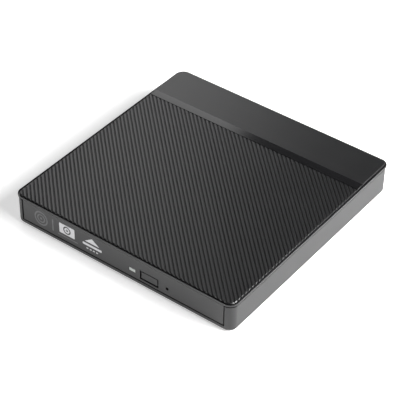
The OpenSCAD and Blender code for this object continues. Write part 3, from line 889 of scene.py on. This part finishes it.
def make_bezel(look):
    """The tray's bezel, with softer outer edges than those of its cut-outs."""
    low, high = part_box("tray_bezel")
    bezel = from_node("tray_bezel", "front_bezel")

    def outer(edge):
        return all(
            near(v.co.y, low.y)
            and (near(v.co.x, low.x) or near(v.co.x, high.x) or near(v.co.z, low.z) or near(v.co.z, high.z))
            for v in edge.verts
        )

    round_edges(bezel, outer, look.outer_edge, 4)
    soften(bezel, look.hole_edge)
    finish = moulded("bezel_plastic_finish", look.tint, look.roughness, grain=0.28 * MM, depth=0.003 * MM)
    complete(bezel, finish, "tray", ["tray_bezel"])

    low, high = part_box("eject_button")
    button = from_node("eject_button", "button_cap")
    round_edges(button, lambda edge: all(near(v.co.y, low.y) for v in edge.verts), look.button_edge, 4)
    soften(button, look.hole_edge / 2)
    complete(button, finish, "button", ["eject_button"])

    window = from_node("lamp_window", "lamp_lens_window")
    soften(window, 0.2 * MM, 3)
    complete(window, material_for("lamp_lens"), "tray", ["lamp_window"])


def plate(name, face_y, thickness, left, right, low, high, corner=0.0):
    """A thin printed patch on the bezel's face."""
    patch = box(name, (left, face_y - thickness, low), (right, face_y + thickness, high))
    if corner:
        round_edges(patch, lambda edge: near(abs(edge.verts[0].co.y - edge.verts[1].co.y), 2 * thickness), corner, 5)
    return patch


def disc(name, face_y, thickness, x, z, radius):
    """A thin printed disc on the bezel's face."""
    return rod(name, radius, (x, face_y + thickness, z), (x, face_y - thickness, z), 64)


def ring(name, face_y, thickness, x, z, outer, inner):
    """A thin printed ring on the bezel's face."""
    return cut(disc(name, face_y, thickness, x, z, outer), disc("hole", face_y, 3 * thickness, x, z, inner))


def make_signs(look):
    """Generic printed signs: a faint disc, a light tile with a disc in it, and the usual open sign."""
    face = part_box("tray_bezel")[0].y
    t = look.print_height

    dim = [
        ring("dim_signs", face, t, -52 * MM, 10.6 * MM, 4.5 * MM, 3.6 * MM),
        ring("ring", face, t, -52 * MM, 10.6 * MM, 2.7 * MM, 1.9 * MM),
        disc("dot", face, t, -52 * MM, 10.6 * MM, 0.8 * MM),
        plate("bar", face, t, -44.5 * MM, -43.6 * MM, 6.6 * MM, 14.2 * MM),
        plate("line", face, t, -40.8 * MM, -27.4 * MM, 6.4 * MM, 7.0 * MM),
    ]
    complete(join("dim_signs", *dim), ink("dim_ink", look.dim_ink), "tray")

    tile = plate("tile", face, t, -39.6 * MM, -29.4 * MM, 8.3 * MM, 14.6 * MM, 0.5 * MM)
    for radius, hole in ((2.5 * MM, 1.7 * MM), (0.8 * MM, 0.3 * MM)):
        cut(tile, ring("groove", face, 3 * t, -34.5 * MM, 11.45 * MM, radius, hole))
    arrow = rod("arrow", 3.4 * MM, (-17.8 * MM, face + t, 12.2 * MM), (-17.8 * MM, face - t, 12.2 * MM), 3)
    point_up(arrow, (-17.8 * MM, 11.4 * MM), 9.4 * MM, 3.3 * MM)
    light = [tile, arrow, plate("tray_line", face, t, -24.0 * MM, -11.6 * MM, 8.8 * MM, 10.2 * MM, 0.3 * MM)]
    for i in range(4):
        x = (-21.6 + 2.1 * i) * MM
        light.append(plate("dash", face, t, x, x + 1.2 * MM, 6.7 * MM, 7.4 * MM))
    complete(join("light_signs", *light), ink("light_ink", look.light_ink), "tray")


def point_up(piece, foot, width, height):
    """Scales a three-sided plate into an upright triangle that stands on its foot."""
    alone(piece)
    across = [corner[0] for corner in piece.bound_box]
    upward = [corner[2] for corner in piece.bound_box]
    wider = width / (max(across) - min(across))
    taller = height / (max(upward) - min(upward))
    piece.scale = (wider, 1, taller)
    piece.location = (foot[0] - wider * (min(across) + max(across)) / 2, 0, foot[1] - taller * min(upward))
    bpy.ops.object.transform_apply(location=True, rotation=True, scale=True)


# ---- inner pieces ----


def finish_nodes(nodes, width):
    """Softens the edges of pieces whose CAD shape is right."""
    for node in nodes:
        finish_node(node, width)


def on_track(piece, look):
    """Moves a piece made along X from the origin to its place on the laser's track."""
    alone(piece)
    piece.rotation_euler.z = look.track
    piece.location = (0, look.hub_y, 0)
    bpy.ops.object.transform_apply(location=True, rotation=True, scale=False)
    return piece


def make_tray(look):
    """The tray with its underside cover, boards and fixings."""
    finish_nodes(("tray",), look.moulded_edge)
    finish_nodes(("underside_cover", "tray_board", "switch_board", "tray_socket", "eject_switch"), look.sheet_edge)
    finish_nodes(("tray_screws", "switch_stem", "busy_lamp"), look.fine_edge)


def make_housing(look):
    """The drive's steel housing, its guides, rails, pads and screws."""
    finish_nodes(("drive_pads", "guide_left", "guide_right"), look.moulded_edge)
    finish_nodes(("upper_chassis", "lower_chassis", "rail_left", "rail_right"), look.sheet_edge)
    finish_nodes(("chassis_screws", "case_screws", "board_screws"), look.fine_edge)


def legs(look, low, high, board_top):
    """Four rows of flat legs round a chip that lies on a board."""
    rows = []
    half, reach, thick = look.leg_pitch / 4, look.leg_reach, 0.15 * MM
    across = int((high.x - low.x) / look.leg_pitch) - 1
    along = int((high.y - low.y) / look.leg_pitch) - 1
    first_x = (low.x + high.x) / 2 - (across - 1) / 2 * look.leg_pitch
    first_y = (low.y + high.y) / 2 - (along - 1) / 2 * look.leg_pitch
    for y in (low.y - reach, high.y - 0.1 * MM):
        leg = box("legs", (first_x - half, y, board_top), (first_x + half, y + reach + 0.1 * MM, board_top + thick))
        rows.append(repeat(leg, across, (look.leg_pitch, 0, 0)))
    for x in (low.x - reach, high.x - 0.1 * MM):
        leg = box("legs", (x, first_y - half, board_top), (x + reach + 0.1 * MM, first_y + half, board_top + thick))
        rows.append(repeat(leg, along, (0, look.leg_pitch, 0)))
    return rows


def make_boards(look):
    """The two circuit boards in the case with their chips, the chips' legs and the connectors."""
    finish_nodes(("main_board", "bridge_board", "main_parts", "bridge_parts"), look.fine_edge)
    finish_nodes(("sata_receptacle", "sata_plug"), look.moulded_edge)
    finish_nodes(("usb_shell", "usb_tongue"), look.sheet_edge)
    finish_nodes(("usb_contacts",), look.fine_edge)
    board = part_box("main_board")[1].z
    rows = []
    for left, front, size in MAIN_CHIPS:
        rows += legs(look, Vector((left, front, 0)), Vector((left + size, front + size, 0)), board)
    rows += legs(look, *map(Vector, BRIDGE_CHIP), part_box("bridge_board")[1].z)
    complete(join("chip_legs", *rows), material_for("socket_steel"), "case")


def make_spindle(look):
    """The spindle motor and the sprung claws that hold a disc."""
    finish_nodes(("spindle_base", "spindle_stator", "spindle_rotor", "hub_ring"), look.sheet_edge)
    finish_nodes(("claw_a", "claw_b", "claw_c"), look.moulded_edge)


def make_traverse(look):
    """The sheet that carries the spindle and the laser, on four rubber dampers, with its rods and motor."""
    finish_nodes(("traverse_deck", "stepper_motor", "guide_rods"), look.sheet_edge)
    finish_nodes(("dampers", "deck_screws"), look.sheet_edge)


def make_pickup(look):
    """The laser sled, its lens on a sprung holder between two magnets, and the lead screw that moves it."""
    finish_nodes(("pickup_sled",), look.sled_edge)
    lens_low, lens_high = (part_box("lens_holder")[i].z for i in (0, 1))
    at, half_u, half_v = look.lens_at, 4.2 * MM, 3.6 * MM
    top = lens_high - 0.4 * MM
    holder = box("lens_carrier", (at - half_u, -half_v, lens_low), (at + half_u, half_v, top))
    round_edges(holder, upright, 0.9 * MM, 5)
    step_in(holder, faces_up, 0.5 * MM, -0.25 * MM)
    fuse(holder, rod("collar", 2.5 * MM, (at, 0, lens_low + 0.4 * MM), (at, 0, top + 0.15 * MM), 64))
    cut(holder, rod("seat", look.lens_radius, (at, 0, lens_low + 0.9 * MM), (at, 0, lens_high + 1 * MM), 64))
    on_track(soften(holder, 0.1 * MM), look)
    complete(holder, material_for("connector_black"), "lens", ["lens_holder"])

    bulge = look.lens_bulge
    wide = 1.06 * look.lens_radius
    ball = (wide**2 + bulge**2) / (2 * bulge)
    lens = rod("objective_lens", look.lens_radius, (at, 0, lens_high - bulge), (at, 0, lens_high + bulge), 64)
    bpy.ops.object.select_all(action="DESELECT")
    bpy.ops.mesh.primitive_uv_sphere_add(segments=96, ring_count=96, radius=ball, location=(at, 0, lens_high - ball))
    combine(lens, fresh("ball"), "INTERSECT")
    on_track(weld(lens), look)
    complete(lens, clear_part("lens_glass", (0.62, 0.7, 0.92), 0.06, 0.8), "lens")

    magnets = []
    for side in (-1, 1):
        low = (at - 3 * MM, side * 5.6 * MM - 0.8 * MM, 7.6 * MM)
        magnet = box("magnet", low, (at + 3 * MM, side * 5.6 * MM + 0.8 * MM, 9.9 * MM))
        magnets.append(soften(magnet, 0.15 * MM))
    complete(on_track(join("focus_magnets", *magnets), look), material_for("rotor_steel"), "sled")

    start, end = look.screw_start, look.screw_end
    side, level, radius = look.screw_side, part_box("lead_screw")[1].z, look.screw_radius
    level -= radius
    journal = 2.4 * MM
    threaded = end - start - 2 * journal
    screw = rod("threaded_screw", radius - look.thread_depth, (start, side, level), (end, side, level))
    ends = [
        rod("journal", radius, (start, side, level), (start + journal, side, level)),
        rod("journal", radius, (end - journal, side, level), (end, side, level)),
    ]
    turns = round(threaded / look.thread_lead)
    thread = coil("thread", (start + journal, side, level), (1, 0, 0), radius, 2 * look.thread_depth, threaded, turns)
    screw = join("threaded_screw", screw, thread, *[soften(part, 0.12 * MM) for part in ends])
    complete(on_track(screw, look), material_for("screw_steel"), "screw", ["lead_screw"])


def make_latch(look):
    """The latch, its solenoid and the emergency slider."""
    finish_nodes(("latch_lever", "emergency_slider"), look.moulded_edge)
    finish_nodes(("latch_post", "latch_pin", "solenoid_plunger"), look.fine_edge)
    low, high = (Vector(corner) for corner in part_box("solenoid"))
    core_low, core_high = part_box("solenoid_plunger")
    y, z = (core_low.y + core_high.y) / 2, (core_low.z + core_high.z) / 2
    flange, sheet = 0.7 * MM, 0.5 * MM
    reach = min(high.z - z, z - low.z) - 0.1 * MM

    def bore():
        return rod("bore", 1.3 * MM, (low.x + 1 * MM, y, z), (high.x + 1 * MM, y, z))

    winding = rod("solenoid_winding", reach, (low.x + flange, y, z), (high.x - flange, y, z), 64)
    soften(winding, 0.25 * MM, 3)
    cut(winding, bore())
    complete(winding, material_for("coil_copper"), "tray", ["solenoid"])
    yoke = box("solenoid_yoke", (low.x, low.y, low.z), high)
    room_low = (low.x + flange, low.y - 1 * MM, low.z - 1 * MM)
    cut(yoke, box("room", room_low, (high.x - flange, high.y - sheet, high.z - sheet)))
    cut(yoke, bore())
    complete(soften(yoke, look.sheet_edge), material_for("deck_steel"), "tray")

    low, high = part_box("latch_spring")
    middle = (low + high) / 2
    reach, rise = (high.x - low.x) / 2, high.z - low.z
    spring = coil("latch_coil", (middle.x, middle.y, low.z), (0, 0, 1), reach, 0.3 * MM, rise, 4)
    complete(spring, material_for("spring_wire"), "tray", ["latch_spring"])


def bend_between(piece, finish, slot, bodies, start, end):
    """Gives a piece its finish, shades it and bakes its place into its mesh; it is not attached to any body."""
    alone(piece)
    piece.data.materials.clear()
    piece.data.materials.append(finish)
    smooth(piece)
    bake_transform(piece)


def make_ejector(look):
    """The ejector's plunger, its bracket and the coil spring between them."""
    finish_nodes(("ejector_plunger", "ejector_bracket"), look.moulded_edge)
    low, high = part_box("ejector_spring")
    middle = (low + high) / 2
    spring = coil(
        "ejector_coil", (middle.x, low.y, middle.z), (0, 1, 0), (high.x - low.x) / 2, 0.35 * MM, high.y - low.y, 14
    )
    ends = (middle.x, high.y, middle.z), (middle.x, low.y, middle.z)
    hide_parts("ejector_spring")
    bend_between(spring, material_for("spring_wire"), "spring_wire", ("case", "ejector"), *ends)


def cable_leg(name, side, end_y, look):
    """One leg of the folded cable, with its half of the fold. side is -1 for the lower leg and 1 for the upper."""
    low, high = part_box("flex_cable")
    level, spare = look.flex_level, 1 * MM
    outer = level - low.z
    inner, centre = outer - FLEX_THICK, low.y + outer
    bottom, top = sorted((level + side * outer, level + side * inner))
    leg = box(name, (low.x, centre, bottom), (high.x, end_y, top))
    turn = rod("turn", outer, (low.x, centre, level), (high.x, centre, level), 64)
    cut(turn, rod("hollow", inner, (low.x - spare, centre, level), (high.x + spare, centre, level), 64))
    reach = outer + spare
    cut(turn, box("ahead", (low.x - spare, centre, level - reach), (high.x + spare, centre + reach, level + reach)))
    under, over = sorted((level, level - side * reach))
    cut(turn, box("half", (low.x - spare, centre - reach, under), (high.x + spare, centre + reach, over)))
    fuse(leg, turn)
    return leg


def make_flex(look):
    """The folded flat cable: its end at the board, and the two legs of the loop that the tray draws out."""
    low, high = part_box("flex_cable")
    held, steps = look.flex_held, 20
    middle_x, fold = (low.x + high.x) / 2, low.y
    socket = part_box("tray_socket")[0].y - 0.3 * MM
    level = look.flex_level
    end = slice_piece(from_node("flex_cable", "flex_end"), (0, held, 0), (0, 1, 0), keep="front")
    complete(end, material_for("flex_film"), "case", ["flex_cable"])
    for name, side, end_y, still, pulled in (
        ("flex_lower", -1, held, held, 2 * fold - held),
        ("flex_upper", 1, FLEX_TRAY_Y, 2 * fold - socket, socket),
    ):
        leg = cable_leg(name, side, end_y, look)
        for i in range(1, steps):
            slice_piece(leg, (0, fold + (held - fold) * i / steps, 0), (0, 1, 0))
        weld(leg)
        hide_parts("flex_cable")
        ends = (middle_x, still, level), (middle_x, pulled, level)
        bend_between(leg, material_for("flex_film"), "flex_film", ("case", "tray"), *ends)


# ---- stage ----


def softbox(name, azimuth, elevation, distance, width, height, radiance, tilt):
    """A rectangular lamp that faces the case. Azimuth 0 is in front of the case and 90 to its right."""
    a, e = math.radians(azimuth), math.radians(elevation)
    away = Vector((math.sin(a) * math.cos(e), -math.cos(a) * math.cos(e), math.sin(e)))
    light = bpy.data.lights.new(name, "AREA")
    light.shape = "RECTANGLE"
    light.size, light.size_y = width, height
    light.energy = radiance * width * height * math.pi
    lamp = bpy.data.objects.new(name, light)
    lamp.location = away * distance
    lamp.rotation_mode = "QUATERNION"
    lamp.rotation_quaternion = away.to_track_quat("Z", "Y") @ Quaternion((0, 0, 1), math.radians(tilt))
    lamp.visible_camera = False
    bpy.context.scene.collection.objects.link(lamp)
    return lamp


def make_floor(look):
    """A wide pale floor that can be seen through from below."""
    bpy.ops.object.select_all(action="DESELECT")
    bpy.ops.mesh.primitive_plane_add(size=8, location=(0, 0, -0.02 * MM))
    floor = fresh("floor")
    recipe = Recipe("floor_paint")
    recipe.paint(recipe.noise(60 * MM), shade(look.floor_tint, 0.995), look.floor_tint)
    recipe.set(Roughness=0.9, Emission_Color=(1.0, 1.0, 1.0), Emission_Strength=look.floor_glow)
    nodes = recipe.tree.nodes
    side = nodes.new("ShaderNodeNewGeometry")
    clear = nodes.new("ShaderNodeBsdfTransparent")
    either = nodes.new("ShaderNodeMixShader")
    recipe.link(side.outputs["Backfacing"], either.inputs["Fac"])
    recipe.link(recipe.shader.outputs["BSDF"], either.inputs[1])
    recipe.link(clear.outputs["BSDF"], either.inputs[2])
    recipe.link(either.outputs["Shader"], nodes["Material Output"].inputs["Surface"])
    floor.data.materials.append(recipe.material)


def make_camera(look):
    a, e = look.azimuth, look.elevation
    back = Vector((math.sin(a) * math.cos(e), -math.cos(a) * math.cos(e), math.sin(e)))
    right = (-back).cross(UP).normalized()
    up = right.cross(-back)
    side = right * math.cos(look.roll) + up * math.sin(look.roll)
    top = up * math.cos(look.roll) - right * math.sin(look.roll)
    camera = bpy.data.objects.new("camera", bpy.data.cameras.new("camera"))
    bpy.context.scene.collection.objects.link(camera)
    camera.rotation_mode = "QUATERNION"
    camera.rotation_quaternion = Matrix((side, top, back)).transposed().to_quaternion()
    camera.location = Vector((0, 0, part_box("bottom_shell")[0].z)) + back * look.distance
    camera.data.sensor_width = 36
    camera.data.lens = look.lens
    camera.data.shift_x, camera.data.shift_y = look.shift
    camera.data.clip_start, camera.data.clip_end = 0.01, 30
    bpy.context.scene.camera = camera


# Name, azimuth, elevation, distance, width, height, radiance and tilt in degrees of each lamp.
# The radiances are whole stops, each twice the one below: 1, 2, 4, 8 or 16.
SOFTBOXES = (
    ("high right", 92, 40, 1.2, 0.6, 0.5, 16, 0),
    ("low right", 102, 20, 1.2, 0.6, 0.5, 8, 0),
    ("near right", 112, 32, 0.45, 0.3, 0.2, 16, 0),
    ("behind right", 136, 24, 1.2, 0.5, 0.3, 4, 0),
    ("behind", 185, 38, 1.4, 0.3, 0.7, 1, 0),
    ("back left", 225, 38, 1.4, 0.36, 0.8, 2, -32),
    ("far left", 250, 38, 1.4, 0.5, 0.7, 1, 0),
    ("low back left", 225, 9, 1.4, 0.8, 0.3, 4, 0),
    ("high front left", 325, 38, 1.2, 0.25, 0.2, 8, 0),
    ("low front", 330, 12, 1.4, 0.8, 0.3, 8, 0),
)


def make_lights(look):
    """Soft lamps all round, and a plain backdrop that lights the case only a little."""
    world = bpy.data.worlds.new("room")
    world.use_nodes = True
    nodes, links = world.node_tree.nodes, world.node_tree.links
    seen = nodes.new("ShaderNodeLightPath").outputs["Is Camera Ray"]
    strength = nodes.new("ShaderNodeMapRange")
    links.new(seen, strength.inputs["Value"])
    strength.inputs["To Min"].default_value = look.room_light
    strength.inputs["To Max"].default_value = 1
    nodes["Background"].inputs["Color"].default_value = (1, 1, 1, 1)
    links.new(strength.outputs["Result"], nodes["Background"].inputs["Strength"])
    bpy.context.scene.world = world
    for values in SOFTBOXES:
        softbox(*values)
    bpy.context.scene.view_settings.view_transform = "Standard"


# ---- operators, panel and registration ----


class DriveOperator:
    """What every operator here shares"""

    bl_options = {"REGISTER", "UNDO"}


class DRIVE_OT_stage(DriveOperator, bpy.types.Operator):
    """Set up the floor, the lights and the camera"""

    bl_idname = "drive.stage"
    bl_label = "Stage"

    def execute(self, context):
        look = context.scene.drive_stage
        make_camera(look)
        make_floor(look)
        make_lights(look)
        return {"FINISHED"}


class DRIVE_OT_cover(DriveOperator, bpy.types.Operator):
    """Model the ribbed cover"""

    bl_idname = "drive.cover"
    bl_label = "Cover"

    def execute(self, context):
        make_cover(context.scene.drive_cover)
        return {"FINISHED"}


class DRIVE_OT_shell(DriveOperator, bpy.types.Operator):
    """Model the bottom shell and its feet"""

    bl_idname = "drive.shell"
    bl_label = "Bottom shell"

    def execute(self, context):
        make_shell(context.scene.drive_shell)
        make_feet()
        return {"FINISHED"}


class DRIVE_OT_front(DriveOperator, bpy.types.Operator):
    """Model the bezel, its button, lamp window and printed signs"""

    bl_idname = "drive.front"
    bl_label = "Tray front"

    def execute(self, context):
        make_bezel(context.scene.drive_front)
        make_signs(context.scene.drive_front)
        return {"FINISHED"}


class DRIVE_OT_tray(DriveOperator, bpy.types.Operator):
    """Model the tray, its underside cover and its boards"""

    bl_idname = "drive.tray"
    bl_label = "Tray"

    def execute(self, context):
        make_tray(context.scene.drive_mechanism)
        return {"FINISHED"}


class DRIVE_OT_housing(DriveOperator, bpy.types.Operator):
    """Model the steel housing, the guides and the rails"""

    bl_idname = "drive.housing"
    bl_label = "Housing"

    def execute(self, context):
        make_housing(context.scene.drive_mechanism)
        return {"FINISHED"}


class DRIVE_OT_boards(DriveOperator, bpy.types.Operator):
    """Model the circuit boards and connectors in the case"""

    bl_idname = "drive.boards"
    bl_label = "Boards"

    def execute(self, context):
        make_boards(context.scene.drive_mechanism)
        return {"FINISHED"}


class DRIVE_OT_spindle(DriveOperator, bpy.types.Operator):
    """Model the spindle motor and the claws that hold a disc"""

    bl_idname = "drive.spindle"
    bl_label = "Spindle"

    def execute(self, context):
        make_spindle(context.scene.drive_mechanism)
        return {"FINISHED"}


class DRIVE_OT_traverse(DriveOperator, bpy.types.Operator):
    """Model the sheet that carries the spindle and the laser"""

    bl_idname = "drive.traverse"
    bl_label = "Traverse"

    def execute(self, context):
        make_traverse(context.scene.drive_mechanism)
        return {"FINISHED"}


class DRIVE_OT_pickup(DriveOperator, bpy.types.Operator):
    """Model the laser sled, its lens and its lead screw"""

    bl_idname = "drive.pickup"
    bl_label = "Laser sled"

    def execute(self, context):
        make_pickup(context.scene.drive_mechanism)
        return {"FINISHED"}


class DRIVE_OT_latch(DriveOperator, bpy.types.Operator):
    """Model the latch, its solenoid and the emergency slider"""

    bl_idname = "drive.latch"
    bl_label = "Latch"

    def execute(self, context):
        make_latch(context.scene.drive_mechanism)
        return {"FINISHED"}


class DRIVE_OT_ejector(DriveOperator, bpy.types.Operator):
    """Model the ejector and its spring"""

    bl_idname = "drive.ejector"
    bl_label = "Ejector"

    def execute(self, context):
        make_ejector(context.scene.drive_mechanism)
        return {"FINISHED"}


class DRIVE_OT_flex(DriveOperator, bpy.types.Operator):
    """Model the flat cable between the case and the tray"""

    bl_idname = "drive.flex"
    bl_label = "Flat cable"

    def execute(self, context):
        make_flex(context.scene.drive_mechanism)
        return {"FINISHED"}


class DRIVE_PT_pieces(bpy.types.Panel):
    """Lists the pieces of the disc drive"""

    bl_idname = "DRIVE_PT_pieces"
    bl_label = "Disc Drive"
    bl_space_type = "VIEW_3D"
    bl_region_type = "UI"
    bl_category = "Disc Drive"

    def draw(self, context):
        for operator in OPERATORS:
            self.layout.operator(operator.bl_idname)


LOOKS = {
    "drive_cover": DriveCoverLook,
    "drive_shell": DriveShellLook,
    "drive_front": DriveFrontLook,
    "drive_mechanism": DriveMechanismLook,
    "drive_stage": DriveStageLook,
}
OPERATORS = (
    DRIVE_OT_stage,
    DRIVE_OT_cover,
    DRIVE_OT_shell,
    DRIVE_OT_front,
    DRIVE_OT_tray,
    DRIVE_OT_housing,
    DRIVE_OT_boards,
    DRIVE_OT_spindle,
    DRIVE_OT_traverse,
    DRIVE_OT_pickup,
    DRIVE_OT_latch,
    DRIVE_OT_ejector,
    DRIVE_OT_flex,
)


def register():
    for name, look in LOOKS.items():
        bpy.utils.register_class(look)
        setattr(bpy.types.Scene, name, bpy.props.PointerProperty(type=look))
    for operator in OPERATORS:
        bpy.utils.register_class(operator)
    bpy.utils.register_class(DRIVE_PT_pieces)


def unregister():
    bpy.utils.unregister_class(DRIVE_PT_pieces)
    for operator in reversed(OPERATORS):
        bpy.utils.unregister_class(operator)
    for name, look in reversed(LOOKS.items()):
        delattr(bpy.types.Scene, name)
        bpy.utils.unregister_class(look)


def main():
    register()
    bpy.ops.drive.stage()
    bpy.ops.drive.cover()
    bpy.ops.drive.shell()
    bpy.ops.drive.front()
    bpy.ops.drive.tray()
    bpy.ops.drive.housing()
    bpy.ops.drive.boards()
    bpy.ops.drive.spindle()
    bpy.ops.drive.traverse()
    bpy.ops.drive.pickup()
    bpy.ops.drive.latch()
    bpy.ops.drive.ejector()
    bpy.ops.drive.flex()


if __name__ == "__main__":
    main()
